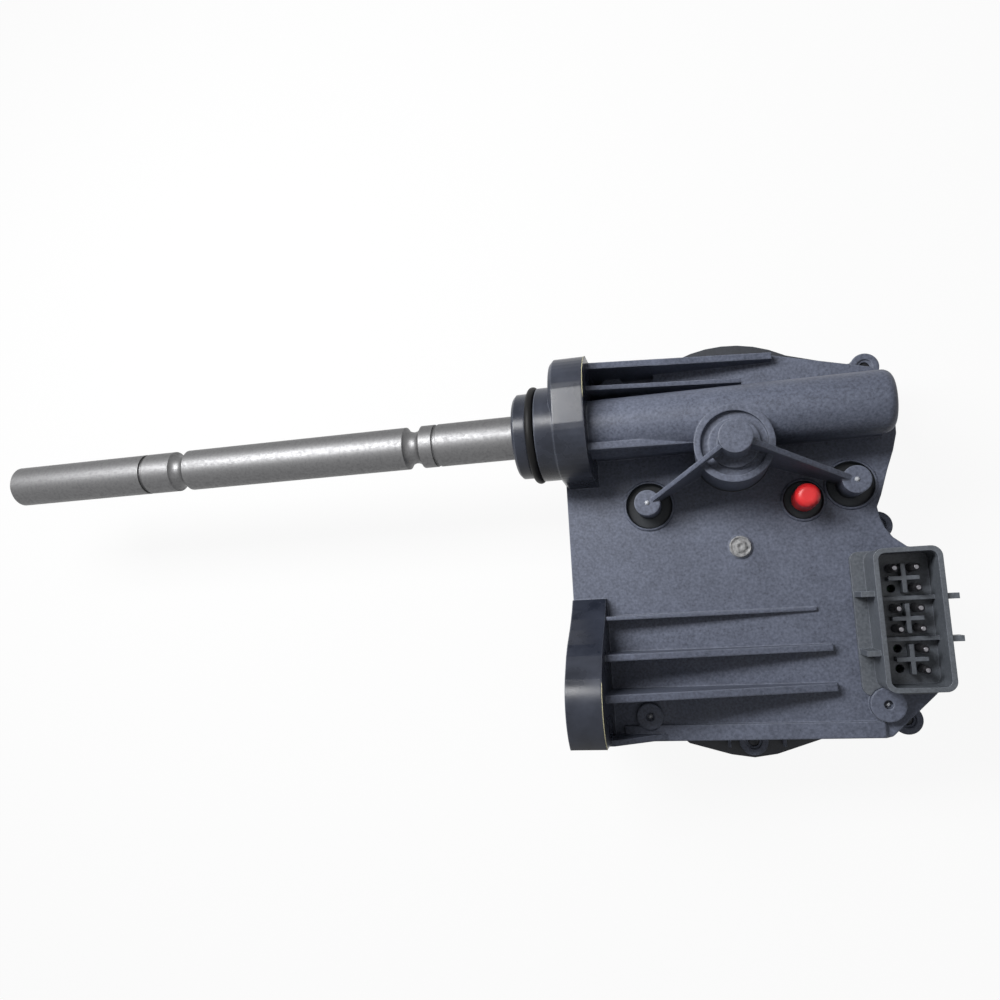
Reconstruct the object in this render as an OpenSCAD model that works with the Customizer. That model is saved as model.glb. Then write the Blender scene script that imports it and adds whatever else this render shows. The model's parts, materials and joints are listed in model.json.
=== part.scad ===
// Transfer case shift actuator, all sizes in millimetres.
// The origin is where the axis of the shift shaft meets the face of the mounting flange.
// X runs along the shaft into the housing, Y up the front face, Z out of the front face.

/* [Shift shaft] */
// Diameter of the shift shaft
shaft_d = 14; // [10:0.5:15]
// Length of the shaft in front of the flange face, at mid travel
shaft_out = 203.5; // [120:0.5:240]
// Length of the shaft behind the flange face, at mid travel
shaft_in = 83; // [80:0.5:86]
// Travel to each side of the middle position
travel = 12; // [6:0.5:12]
// Middle of the outer circlip groove, in front of the flange face
ring_groove_1 = 148; // [140:0.5:155]
// Middle of the inner circlip groove, in front of the flange face
ring_groove_2 = 39.5; // [34:0.5:42]
// Middle of the outer rounded groove, in front of the flange face
round_groove_1 = 134; // [128:0.5:137]
// Middle of the inner rounded groove, in front of the flange face
round_groove_2 = 47.3; // [46:0.5:60]
// Width of the circlip grooves
ring_groove_w = 1.3; // [0.8:0.1:2]
// Depth of the circlip grooves
ring_groove_deep = 0.7; // [0.3:0.1:1]
// Width of the rounded grooves
round_groove_w = 5.6; // [3:0.1:7]
// Depth of the rounded grooves
round_groove_deep = 1.8; // [0.8:0.1:2.5]
// Chamfer of the shaft's ends
end_chamfer = 1.4; // [0.5:0.1:2.5]

/* [Spigot and flange] */
// Diameter of the pilot spigot
spigot_d = 29.8; // [28:0.1:32]
// Length of the spigot in front of the flange face
spigot_len = 12.2; // [10:0.1:16]
// Diameter of the spigot's nose in front of the seal ring
nose_d = 27.2; // [26:0.1:28.4]
// Cord diameter of the seal ring
ring_cord = 2.6; // [2:0.1:3]
// Thickness of the mounting flange
flange_t = 10.8; // [10:0.1:12]
// Distance of the lower fixing hole below the shaft
fixing_low_y = 84.5; // [80:0.5:86]
// Core diameter of the thread in the fixing inserts
core_d = 6.8; // [5:0.1:7.4]
// Height of the upper fixing hole above the shaft
fixing_up_y = 9.5; // [8:0.5:11]
// Depth of the upper fixing hole behind the shaft
fixing_up_z = 31; // [30:0.5:32]

/* [Housing] */
// Depth of the front plate below the shaft's axis
plate_deep = 13; // [12:0.25:14]
// Thickness of the front plate
plate_t = 2.5; // [2:0.1:3]
// Thickness of the side walls
wall = 2.6; // [2:0.1:3.2]
// Depth of the parting plane below the shaft's axis
parting_deep = 26; // [25:0.25:26.5]
// Thickness of the gasket between housing and cover
gasket_t = 1; // [0.6:0.1:1.4]
// Outer diameter of the shaft's tube
tube_d = 18.6; // [18:0.1:20]
// End of the shaft's tube
tube_end = 99.5; // [98:0.1:101]
// Length of the lugs for the cover screws
lug_len = 4; // [3:0.5:5]
// Diameter of the red vent cap
cap_d = 7.4; // [7:0.1:8.6]
// Height of the post on the pinion's boss
post_top = 20.5; // [14:0.5:22]

/* [Rack and pinion] */
// Place of the pinion's axis along the shaft
pinion_x = 53.6; // [52:0.1:55]
// Module of the rack's teeth
rack_module = 1; // [0.8:0.05:1]
// Number of the pinion's teeth
pinion_teeth = 16; // [14:1:16]
// Width of the pinion's teeth
pinion_w = 8.5; // [6:0.5:9]
// Play between the teeth, along the pitch line
tooth_play = 0.12; // [0.08:0.02:0.2]

/* [Worm drive] */
// Module of the worm wheel
wheel_module = 1.25; // [1:0.05:1.25]
// Number of the worm wheel's teeth
wheel_teeth = 44; // [42:1:44]
// Pitch radius of the worm
worm_r = 5; // [4.5:0.1:5.5]
// Width of the worm wheel
wheel_w = 8; // [6:0.5:9]
// Turns of the spiral spring
spring_turns = 4; // [3:0.5:5]

/* [Motor] */
// Diameter of the motor's can
motor_d = 27; // [24:0.5:27]
// Length of the motor's can
motor_len = 38; // [30:0.5:39]
// Distance of the can's upper end below the shaft
motor_top = 48; // [47:0.5:49]
// Diameter of the motor's shaft
motor_shaft_d = 4; // [3:0.1:4.4]

/* [Connector] */
// Width of the connector's shroud
shroud_w = 18.2; // [17:0.1:19]
// Height of the connector's shroud
shroud_h = 40.3; // [38:0.1:41]
// Wall of the connector's shroud
shroud_wall = 1.35; // [1:0.05:1.8]
// Height of the shroud's rim above the shaft's axis
rim_z = 4; // [2:0.5:9]
// Height of the shroud's floor below the shaft's axis
floor_deep = 8; // [6:0.5:9]
// Spacing of the terminals
pin_pitch = 5.8; // [5:0.1:6]
// Diameter of the terminals
pin_d = 2.4; // [1.5:0.1:2.8]

/* [Hidden] */
eps = 0.02;
shaft_r = shaft_d / 2;
run_gap = 0.05;
bush_t = 0.8;
tube_r = tube_d / 2;
spigot_r = spigot_d / 2;
nose_r = nose_d / 2;
step_x = -spigot_len + 4.4;
ring_w = ring_cord + 0.4;
ring_r = spigot_r + 0.6 - ring_cord / 2;
seal_r = shaft_r + 3.4;
seal_len = 6;
plate_z = -plate_deep;
inner_z = plate_z - plate_t;
parting_z = -parting_deep;
rim_low = parting_z + gasket_t;
wheel_z = inner_z - 1 - motor_d / 2;
back_in = wheel_z - motor_d / 2 - 2.5;
back_z = back_in - 2.5;
lug_z = parting_z - 4;
box_z = parting_z - 8;
box_in = box_z + 2.4;
pinion_r = rack_module * pinion_teeth / 2;
rack_line = -1.8 * rack_module;
pinion_y = rack_line - pinion_r;
pinion_tip = pinion_r + rack_module;
pinion_top = pinion_w / 2;
chamber_r = pinion_tip + 0.4;
chamber_top = pinion_top + 0.4;
cup_r = chamber_r + 2.2;
cup_top = 9.4;
rack_from = pinion_x - travel - pinion_tip - 0.3;
rack_to = pinion_x + travel + pinion_tip + 0.3;
bush_end = rack_from - travel - 0.2;
mid_bush_top = -shaft_r - 0.4;
wheel_r = wheel_module * wheel_teeth / 2;
wheel_tip = wheel_r + wheel_module;
wheel_top = wheel_z + wheel_w / 2;
wheel_low = wheel_z - wheel_w / 2;
lead = PI * wheel_module;
worm_x = pinion_x - wheel_r - worm_r;
worm_len = 17;
worm_shaft_end = pinion_y + worm_len / 2 + 7;
gear_in_r = wheel_tip + 3.65;
gear_out_r = gear_in_r + wall + 0.8;
gear_rim_r = gear_out_r + 3.8;
hub_r = 6;
disc_r = wheel_r - 4;
seat_r = 7.5;
board_t = 1.6;
journal_r = 4;
mid_journal_r = 6;
back_journal_r = 3.5;
journal_top = chamber_top + 4.4;
spring_top = inner_z - 3.4;
spring_low = wheel_top + 0.8;
pin_r = pin_d / 2;
shroud_x = 97.8;
shroud_y = -63.1;
cap_x = 73.6;
cap_y = -25.8;
pin_1 = [26.5, -24];
pin_1_top = -3;
pin_2 = [87.7, -22.1];
pin_2_top = -1;
pad_1 = [22, -90.1];
pad_2 = [91.3, -88];
pad_2_r = 5;
gate = [53.7, -39];
barrel_r = motor_d / 2 + 3.1;
barrel_y0 = -motor_top - motor_len - 7;
barrel_y1 = -motor_top + 5;
cap_r = cap_d / 2;
insert_r = core_d / 2 + 2.2;
insert_len = flange_t - 1.8;
web_y = tube_r - 1.4;
spring_in = hub_r + 2.6;
spring_out = wheel_r - 6.5;
screws = [[96.9, 16.1], [95.6, -34.7], [98.1, -93.9], [52.9, -99.5], [5.2, -92.6], [5.2, -38],
  [17.2, 16]];
screw_r = 2;
screw_core_r = 1.7;
webs = [45.5, 62.2];
lug_r = 4.6;
ear_low = -96.4;
ear_chamfer = 1.2;
pin_cols = [-pin_pitch / 2, pin_pitch / 2];
pins = [[1, 0], [0, 0], [1, 1], [0, 2], [1, 2], [0, 3], [1, 3], [1, 4], [1, 5]];
$fn = 48;

// A tooth's flank in polar form: half angle of the tooth at radius r.
function inv(a) = tan(a) * 180 / PI - a;
function flank(r, rb, half, a0) = half + inv(a0) - (r > rb ? inv(acos(rb / r)) : 0);

// Flat outline of a spur gear with involute flanks.
module gear_outline(m, z, a0, play, phase) {
  rp = m * z / 2;
  rb = rp * cos(a0);
  root = rp - 1.25 * m;
  tip = rp + m;
  half = (PI * m / 2 - play / 2) / (2 * rp) * 180 / PI;
  low = max(root, rb);
  radii = concat(root < rb ? [root] : [], [for (i = [0 : 4]) low + (tip - low) * i / 4]);
  n = len(radii);
  points = [for (k = [0 : z - 1], j = [0 : 2 * n - 1])
    let (i = j < n ? j : 2 * n - 1 - j, r = radii[i], s = j < n ? -1 : 1,
      a = phase + k * 360 / z + s * flank(r, rb, half, a0))
    [r * cos(a), r * sin(a)]];
  polygon(points);
}

// A solid of revolution about the X axis, from a half outline of (x, radius).
module about_x(points) {
  rotate([90, 0, 90]) rotate_extrude() polygon([for (p = points) [p[1], p[0]]]);
}

// A bar along X, between two places.
module bar_x(x0, x1, r) {
  translate([x0, 0, 0]) rotate([0, 90, 0]) cylinder(r = r, h = x1 - x0);
}

// A ring along X.
module ring_x(x0, x1, r_in, r_out) {
  difference() {
    bar_x(x0, x1, r_out);
    bar_x(x0 - 1, x1 + 1, r_in);
  }
}

// A bar along Z at a place, between two heights.
module post(x, y, z0, z1, r) {
  translate([x, y, z0]) cylinder(r = r, h = z1 - z0);
}

// A ring along Z.
module collar(x, y, z0, z1, r_in, r_out) {
  difference() {
    post(x, y, z0, z1, r_out);
    post(x, y, z0 - 1, z1 + 1, r_in);
  }
}

// A bar along Y on the worm's line.
module bar_y(y0, y1, r) {
  translate([worm_x, y1, wheel_z]) rotate([90, 0, 0]) cylinder(r = r, h = y1 - y0);
}

// A ring along Y on the worm's line.
module ring_y(y0, y1, r_in, r_out) {
  difference() {
    bar_y(y0, y1, r_out);
    bar_y(y0 - 1, y1 + 1, r_in);
  }
}

// A wall between two heights of Y, from an outline of (x, z).
module wall_y(y0, y1, points) {
  translate([0, y1, 0]) rotate([90, 0, 0]) linear_extrude(y1 - y0) polygon(points);
}

// A plate across X, from an outline of (y, z).
module plate_x(x0, x1) {
  translate([x0, 0, 0]) rotate([90, 0, 90]) linear_extrude(x1 - x0) children();
}

// A box with rounded upright edges.
module soft_box(x, y, z0, z1, w, h, r) {
  translate([x, y, z0]) linear_extrude(z1 - z0) offset(r)
    square([w - 2 * r, h - 2 * r], center = true);
}

// Outline of the front plate.
module front_outline() {
  offset(1.5) offset(-1.5) union() {
    polygon([[0, -97.8], [92, -97.6], [105.4, -85.4], [106, -83], [106, -45], [104.6, -42.8],
      [101.6, -42], [98, -39], [96.1, -36.1], [95, -33], [94.5, -29.6], [96, -26.1], [98.5, -18.6],
      [100.8, -12.6], [102.2, -7.5], [102.4, -2], [102.4, 10], [97, 14], [68, 21.2], [0, 21.2]]);
  }
}

// Outline of the space inside, seen from the front.
module inner_outline() {
  difference() {
    union() {
      translate([pinion_x, pinion_y]) circle(gear_in_r);
      polygon([[worm_x - 6.6, worm_shaft_end + 1], [worm_x - 6.6, -42], [6.1, -42], [6.1, -88],
        [11, -94], [91, -94], [103.2, -83], [103.2, -47], [91, -37], [60, -37],
        [worm_x + 6.6, -20], [worm_x + 6.6, worm_shaft_end + 1]]);
    }
    for (s = screws) translate(s) circle(lug_r + 0.3);
  }
}

// Outline of the cover's flange.
module back_outline() {
  difference() {
    union() {
      offset(1) front_outline();
      intersection() {
        translate([pinion_x, pinion_y]) circle(gear_rim_r);
        translate([pinion_x, 25]) square([120, 60], center = true);
      }
      polygon([[70, 22], [68, 26], [91, 19], [100, 19], [101, 14]]);
      polygon([[29, -97], [33, -100.7], [46, -104.4], [53, -105.4], [60, -104.4], [75.5, -99.4],
        [78, -97]]);
      for (i = [0 : 3]) translate(screws[i]) circle(lug_r);
    }
    translate([-1, -6]) square([flange_t + 2, 40]);
  }
}

// Outline of the upper flange ear in front of the plate, as (y, z).
module upper_ear() {
  union() {
    hull() {
      translate([9, 0]) circle(14.6);
      circle(spigot_r + 0.3);
    }
    polygon([[-16.8, plate_z - 3], [-16.2, plate_z + 3], [-14.6, -2], [-8, 10], [10, 0],
      [23.5, -2], [23.5, plate_z - 3]]);
  }
}

// Outline of the lower flange ear, as (y, z).
module lower_ear() {
  intersection() {
    union() {
      translate([-fixing_low_y, 0]) circle(16);
      polygon([[ear_low, plate_z - 1], [ear_low, 4], [-84, 4], [-76, 13.6], [-69.6, 8.7],
        [-66.4, 5.2], [-62.2, -0.9], [-59, -5], [-56, -8.2], [-52.9, -10.8], [-52.9, plate_z - 1]]);
    }
    translate([ear_low, plate_z - 1]) square([60, 60]);
  }
}

// A body of revolution along Z with a rounded end, from a floor up to a height.
module dome(x, y, z, r, round_r) {
  translate([x, y, z]) rotate_extrude() intersection() {
    union() {
      translate([r - round_r, 0]) circle(round_r);
      square([r - round_r, round_r]);
    }
    square([r, round_r]);
  }
}

// The ring groove around a pin, spared where its gusset stands.
module pin_moat(p, top, r_in, r_out, t) {
  difference() {
    collar(p[0], p[1], plate_z - 1.5, plate_z + 0.5, r_in, r_out);
    gusset(p, top, t);
  }
}

// A rib that falls from the flange towards the far side.
module falling_rib(y0, y1, z_start, x_end, z_end) {
  wall_y(y0, y1, [[flange_t - 1, plate_z - 1], [flange_t - 1, z_start], [flange_t + 1, z_start],
    [x_end, z_end], [x_end, plate_z - 1]]);
}

// A gusset between the boss's post and a pin.
module gusset(p, z_pin, t) {
  dx = p[0] - pinion_x;
  dy = p[1] - pinion_y;
  d = sqrt(dx * dx + dy * dy);
  translate([pinion_x, pinion_y, 0]) rotate([0, 0, atan2(dy, dx)])
    wall_y(-t / 2, t / 2, [[2, plate_z - 1], [2, post_top - 0.6], [3.5, post_top - 0.6],
      [d - 1, z_pin - 0.4], [d, plate_z - 1]]);
}

// Front housing with flange, spigot, shaft tube, boss, pins and ribs.
module front_housing() {
  color("#474a53") difference() {
    union() {
      translate([0, 0, rim_low]) linear_extrude(plate_z - rim_low) front_outline();
      hull() {
        plate_x(0.001, 0.01) offset(-ear_chamfer) upper_ear();
        plate_x(ear_chamfer, flange_t) upper_ear();
      }
      plate_x(0, flange_t) lower_ear();
      plate_x(0, flange_t) hull() {
        translate([fixing_up_y, -fixing_up_z]) circle(11);
        translate([-4.5, -16]) square([28, 1]);
      }
      bar_x(-spigot_len + 0.8, step_x, nose_r);
      translate([-spigot_len, 0, 0]) rotate([0, 90, 0])
        cylinder(r1 = nose_r - 0.8, r2 = nose_r, h = 0.8);
      bar_x(step_x - eps, step_x + ring_w + eps, ring_r - ring_cord / 2);
      bar_x(step_x + ring_w, 1, spigot_r);
      bar_x(1, tube_end - 3, tube_r);
      translate([tube_end - 3, 0, 0]) rotate([90, 0, 90]) rotate_extrude() intersection() {
        union() {
          translate([tube_r - 3, 0]) circle(3);
          square([tube_r - 3, 3]);
        }
        square([tube_r, 3]);
      }
      wall_y(-web_y, web_y, [[2, plate_z - 1], [2, 0], [tube_end - 3, 0],
        [tube_end - 1, plate_z - 1]]);
      falling_rib(19.1, 21.2, 2.4, 68, -9.5);
      falling_rib(11.6, 13, 5.5, 58, -5.5);
      wall_y(-8, -5.8, [[flange_t - 1, plate_z - 1], [flange_t - 1, 9.6], [flange_t + 2, 9.6],
        [pinion_x, 3.4], [84, -4], [84, plate_z - 1]]);
      falling_rib(-59.8, -58.6, -6, 74.4, -12.2);
      falling_rib(-71.9, -69.9, 2, 77.8, -10.5);
      falling_rib(-83.7, -81.4, 7, 77.8, -9.8);
      falling_rib(-97.2, -95.4, 0, 27, -11.4);
      wall_y(-97.7, -92.9, [[14, plate_z - 1], [14, -11.6], [90, -11.6], [92, plate_z - 1]]);
      post(pad_1[0], pad_1[1], plate_z - 1, plate_z + 2, 4.1);
      post(pad_2[0], pad_2[1], plate_z - 1, plate_z + 3, pad_2_r);
      post(pinion_x, pinion_y, plate_z - 1, cup_top, cup_r);
      post(pinion_x, pinion_y, plate_z, post_top, 4.8);
      post(pin_1[0], pin_1[1], plate_z - 1, pin_1_top, 4);
      post(pin_2[0], pin_2[1], plate_z - 1, pin_2_top, 4.1);
      gusset(pin_1, pin_1_top, 1.3);
      gusset(pin_2, pin_2_top, 1.6);
      post(gate[0], gate[1], plate_z - 1, plate_z + 0.4, 3.7);
      post(cap_x, cap_y, plate_z - 1, plate_z + 3, cap_r - 0.5);
      for (i = [0 : 3]) post(screws[i][0], screws[i][1], rim_low, rim_low + lug_len, lug_r - 0.2);
      for (x = webs) translate([x - 0.5, -101.4, rim_low + 0.2]) cube([1, 5, lug_len]);
    }
    difference() {
      translate([0, 0, rim_low - 1]) linear_extrude(inner_z - rim_low + 1) intersection() {
        inner_outline();
        offset(-wall) front_outline();
      }
      wall_y(-web_y, web_y, [[flange_t, inner_z], [flange_t, inner_z - 2.5], [30, inner_z - 2.5],
        [34, inner_z]]);
    }
    plate_x(-1, insert_len) translate([fixing_up_y, -fixing_up_z]) circle(insert_r);
    plate_x(-1, insert_len) translate([-fixing_low_y, 0]) circle(insert_r);
    bar_x(-spigot_len - 1, -spigot_len + seal_len, seal_r);
    bar_x(-spigot_len, bush_end + 0.1, shaft_r + run_gap + bush_t);
    bar_x(bush_end, tube_end - 2.8, shaft_r + 0.25);
    post(pinion_x, pinion_y, inner_z - 1, chamber_top, chamber_r);
    post(pinion_x, pinion_y, 0, journal_top, journal_r + run_gap + bush_t);
    collar(pinion_x, pinion_y, cup_top - 1.6, cup_top + 1, 7.4, cup_r - 1.9);
    pin_moat(pin_1, pin_1_top, 4, 7.5, 1.3);
    pin_moat(pin_2, pin_2_top, 4.1, 7.2, 1.6);
    collar(cap_x, cap_y, plate_z - 1, plate_z + 0.5, cap_r - 0.5, 6.1);
    post(cap_x, cap_y, inner_z - 1, plate_z + 4, 1.6);
    post(pad_1[0], pad_1[1], plate_z + 0.8, plate_z + 3, 1.3);
    post(pad_2[0], pad_2[1], plate_z + 1, plate_z + 4, 1.3);
    soft_box(shroud_x, shroud_y, inner_z - 1, plate_z + 1, shroud_w - 3.6, shroud_h - 3.6, 2);
    for (s = screws) post(s[0], s[1], rim_low - 1, rim_low + lug_len + 0.8, screw_core_r);
    for (i = [0 : 3]) post(screws[i][0], screws[i][1], rim_low + lug_len - 0.6, rim_low + lug_len + 1, 2.5);
    pocket_cut();
  }
}

// The open pocket above the tube, left of the gear chamber.
module pocket_cut() {
  difference() {
    translate([flange_t, tube_r + 0.3, plate_z - 5.4]) cube([20, 9.6, 30]);
    post(pinion_x, pinion_y, -50, 30, gear_out_r);
    translate([0, 11.6, -50]) cube([60, 1.4, 80]);
    post(screws[6][0], screws[6][1], -50, plate_z, lug_r - 0.6);
  }
}

// Outline of the deep spaces in the cover for the gears and the worm.
module bulge_outline() {
  union() {
    translate([pinion_x, pinion_y]) circle(gear_in_r);
    translate([worm_x - 6.6, -46]) square([15, 46 + worm_shaft_end + 0.6]);
  }
}

// Half barrel of the cover around the motor, between two heights.
module motor_barrel(y0, y1, r, top) {
  difference() {
    bar_y(y0, y1, r);
    translate([worm_x - r - 1, y0 - 1, top]) cube([2 * r + 2, y1 - y0 + 2, 2 * r]);
  }
}

// Outline of the flat parts around the deep spaces, less the screw lugs and the flange ear.
module clear_of_lugs(play) {
  offset(delta = 0.001) difference() {
    children();
    for (s = screws) translate(s) circle(lug_r + play);
    translate([-10, -6]) square([flange_t + 10.4, 40]);
  }
}

// Rear cover with the gear bulge, the motor bulge and the bearing seats.
module rear_cover() {
  color("#3b3d44") difference() {
    union() {
      difference() {
        union() {
          translate([0, 0, parting_z - 3]) linear_extrude(3) offset(delta = 0.001) back_outline();
          translate([0, 0, box_z]) linear_extrude(parting_z - 2.5 - box_z) clear_of_lugs(-0.3)
            intersection() {
              offset(wall + 0.8) inner_outline();
              offset(-0.4) back_outline();
            }
          translate([0, 0, back_z]) linear_extrude(box_z + 0.5 - back_z) clear_of_lugs(0.2)
            offset(2.5) bulge_outline();
          motor_barrel(barrel_y0, barrel_y1, barrel_r, box_z + 0.8);
        }
        translate([0, 0, box_in]) linear_extrude(parting_z - box_in + 1) clear_of_lugs(0.2) intersection() {
          inner_outline();
          offset(-wall) back_outline();
        }
        translate([0, 0, back_in]) linear_extrude(box_in + 0.6 - back_in) clear_of_lugs(2.4)
          bulge_outline();
        bar_y(barrel_y0 + wall, barrel_y1 - wall, barrel_r - wall);
      }
      for (s = screws) post(s[0], s[1], lug_z, parting_z - 2, lug_r);
      for (y = [-motor_top - 9, -motor_top - 31])
        motor_barrel(y - 1.5, y + 1.5, barrel_r - wall + 0.3, wheel_z - 1);
      for (y = [-29.5, worm_shaft_end - 5]) translate([worm_x - 6.2, y, back_z + 0.5])
        cube([11, 5, wheel_z - back_z - 0.5]);
      post(pinion_x, pinion_y, back_z + 0.5, back_in + 3.5, seat_r);
      for (a = [20 : 60 : 320]) translate([pinion_x, pinion_y, back_z - 1.2]) rotate([0, 0, a])
        translate([9, -0.8, 0]) cube([gear_out_r - 13, 1.6, 2]);
      collar(pinion_x, pinion_y, back_z - 1.2, back_z + 1, 6.5, 9.5);
    }
    bar_y(-motor_top - motor_len - 0.1, -motor_top, motor_d / 2);
    bar_y(-40, worm_shaft_end + 0.5, 4.5);
    post(pinion_x, pinion_y, back_in - 1.5, -20, back_journal_r + run_gap + bush_t);
    for (s = screws) post(s[0], s[1], lug_z - 1, parting_z + 1, screw_r + 0.25);
  }
}

// Gasket between front housing and cover.
module cover_gasket() {
  color("#1d1e22") difference() {
    translate([0, 0, parting_z]) linear_extrude(gasket_t) difference() {
      intersection() {
        offset(-0.3) front_outline();
        back_outline();
      }
      intersection() {
        inner_outline();
        offset(-wall) front_outline();
      }
      for (s = screws) translate(s) circle(screw_r + 0.4);
      translate([-1, -5.2]) square([flange_t + 1.6, 40]);
    }
  }
}

// The seven cover screws.
module cover_screws() {
  color("#8d9096") for (s = screws) {
    difference() {
      post(s[0], s[1], lug_z - 3, lug_z, 3.6);
      translate([s[0], s[1], lug_z - 3.1]) cylinder(r = 1.9, h = 1.8, $fn = 6);
    }
    post(s[0], s[1], lug_z - eps, rim_low - 0.05, screw_r);
    post(s[0], s[1], rim_low - 0.06, rim_low + lug_len - 1.2, screw_core_r);
  }
}

// Threaded inserts in the flange, open towards the mating face.
module fixing_inserts() {
  color("#a9a48f") for (p = [[fixing_up_y, -fixing_up_z], [-fixing_low_y, 0]])
    plate_x(0, insert_len) translate(p) difference() {
      circle(insert_r);
      circle(core_d / 2);
    }
}

// Seal ring on the spigot.
module spigot_ring() {
  color("#111111") translate([step_x + ring_w / 2, 0, 0]) rotate([90, 0, 90])
    rotate_extrude() translate([ring_r, 0]) circle(ring_cord / 2, $fn = 24);
}

// Lip seal around the shaft, in the spigot's nose.
module shaft_seal() {
  color("#1a1a1c") about_x([[-spigot_len + 0.3, shaft_r + 0.9], [-spigot_len + 0.3, seal_r],
    [-spigot_len + seal_len, seal_r], [-spigot_len + seal_len, shaft_r + 0.6],
    [-spigot_len + 3.4, shaft_r + 0.6], [-spigot_len + 2.4, shaft_r + 0.02],
    [-spigot_len + 1.8, shaft_r + 0.02]]);
}

// Front guide bush of the shaft.
module front_bush() {
  color("#b08d4a") ring_x(-spigot_len + seal_len + 0.1, 4, shaft_r + run_gap,
    shaft_r + run_gap + bush_t);
}

// Rear guide bush of the shaft.
module rear_bush() {
  color("#b08d4a") ring_x(14, bush_end, shaft_r + run_gap, shaft_r + run_gap + bush_t);
}

// Connector with its pad, shroud, keying ribs and outer nubs.
module connector_shell() {
  color("#3a3c42") difference() {
    union() {
      soft_box(shroud_x - 2.2, shroud_y - 1, plate_z, plate_z + 2, 21.6, 42.4, 2.5);
      soft_box(shroud_x, shroud_y, inner_z, plate_z + 1, shroud_w - 3.8, shroud_h - 3.8, 2);
      soft_box(shroud_x, shroud_y, plate_z + 1, rim_z, shroud_w, shroud_h, 3);
      for (y = [-57.2, -68.9]) {
        translate([shroud_x + shroud_w / 2 - 1, y - 0.8, -2]) cube([4.2, 1.6, rim_z + 1]);
      }
      for (y = [-55.6, -72.4]) {
        translate([shroud_x - shroud_w / 2 - 3.6, y - 0.8, plate_z + 1]) cube([4.6, 1.6, 13]);
      }
    }
    difference() {
      soft_box(shroud_x, shroud_y, -floor_deep, rim_z + 1, shroud_w - 2 * shroud_wall,
        shroud_h - 2 * shroud_wall, 2);
      for (k = [0 : 2]) {
        yc = shroud_y + (1 - k) * 2 * pin_pitch;
        translate([shroud_x - 4.2, yc - 0.6, -floor_deep - 1]) cube([8.4, 1.2, 5.4]);
        translate([shroud_x - 0.6, yc - 4.2, -floor_deep - 1]) cube([1.2, 8.4, 5.4]);
      }
      for (k = [0 : 1]) {
        yc = shroud_y + (0.5 - k) * 2 * pin_pitch;
        translate([shroud_x - 8, yc - 0.6, -floor_deep - 1]) cube([16, 1.2, 4.6]);
      }
    }
    for (c = [0, 1], r = [0 : 5])
      post(shroud_x + pin_cols[c], shroud_y + (2.5 - r) * pin_pitch, -20, 0, pin_r);
    post(pad_2[0], pad_2[1], plate_z - 1, plate_z + 4, pad_2_r + 0.1);
  }
}

// The nine terminals.
module terminals() {
  color("#c9c4b4") for (p = pins) {
    x = shroud_x + pin_cols[p[0]];
    y = shroud_y + (2.5 - p[1]) * pin_pitch;
    post(x, y, inner_z - 2.5, -1.2, pin_r);
    translate([x, y, -1.2]) cylinder(r1 = pin_r, r2 = pin_r - 0.6, h = 1.2);
  }
}

// Board that carries the inner ends of the terminals.
module terminal_board() {
  color("#2f6b3c") difference() {
    translate([0, 0, inner_z - 2.5 - board_t]) linear_extrude(board_t) intersection() {
      offset(-0.6) intersection() {
        inner_outline();
        offset(-wall) front_outline();
      }
      union() {
        translate([shroud_x, shroud_y]) square([pin_pitch + 14, 6 * pin_pitch + 6], center = true);
        translate([shroud_x - 34, shroud_y + 3]) square([30, 14]);
      }
    }
    for (c = [0, 1], r = [0 : 5])
      post(shroud_x + pin_cols[c], shroud_y + (2.5 - r) * pin_pitch, -40, 0, 0.6);
  }
}

// Red vent cap.
module vent_cap() {
  color("#e03030") {
    difference() {
      post(cap_x, cap_y, plate_z + 1, -1.5, cap_r);
      post(cap_x, cap_y, plate_z, plate_z + 3, cap_r - 0.5);
    }
    dome(cap_x, cap_y, -1.5, cap_r, 2.2);
  }
}

// Steel can of the motor.
module motor_can() {
  y0 = -motor_top - motor_len;
  color("#9aa0a6") difference() {
    union() {
      bar_y(y0, -motor_top, motor_d / 2);
      bar_y(y0 - 2.4, y0, 4.5);
    }
    bar_y(y0 + 1.4, -motor_top + 1, motor_d / 2 - 1.2);
    bar_y(y0 - 3, y0 + 3, motor_shaft_d / 2 + run_gap);
  }
}

// The two magnets in the can.
module motor_magnets() {
  y0 = -motor_top - motor_len;
  color("#3d3a38") difference() {
    ring_y(y0 + 5, -motor_top - 5, motor_d / 2 - 3.4, motor_d / 2 - 1.2);
    for (s = [-1, 1]) translate([worm_x + s * motor_d / 2, y0 + 16, wheel_z])
      cube([motor_d / 2 + 2, 60, 7], center = true);
  }
}

// End cap with the motor's brushes.
module motor_end_cap() {
  color("#23262c") difference() {
    union() {
      bar_y(-motor_top - 2, -motor_top, motor_d / 2 - 1.2);
      bar_y(-motor_top, -motor_top + 2, motor_d / 2);
      bar_y(-motor_top + 2, -motor_top + 4, 4.5);
    }
    bar_y(-motor_top - 5, -motor_top + 5, motor_shaft_d / 2 + run_gap);
  }
}

// Armature with commutator and the long shaft that carries the worm.
module motor_armature() {
  y0 = -motor_top - motor_len;
  core_r = motor_d / 2 - 4.2;
  color("#b5673a") {
    difference() {
      bar_y(y0 + 7, -motor_top - 9, core_r);
      for (a = [0 : 72 : 288]) translate([worm_x, y0, wheel_z]) rotate([0, a, 0])
        translate([-0.9, 0, core_r - 4]) cube([1.8, motor_len, 6]);
    }
    bar_y(-motor_top - 9, -motor_top - 4, 3.6);
    bar_y(y0 - 1.6, worm_shaft_end, motor_shaft_d / 2);
  }
}

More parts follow.
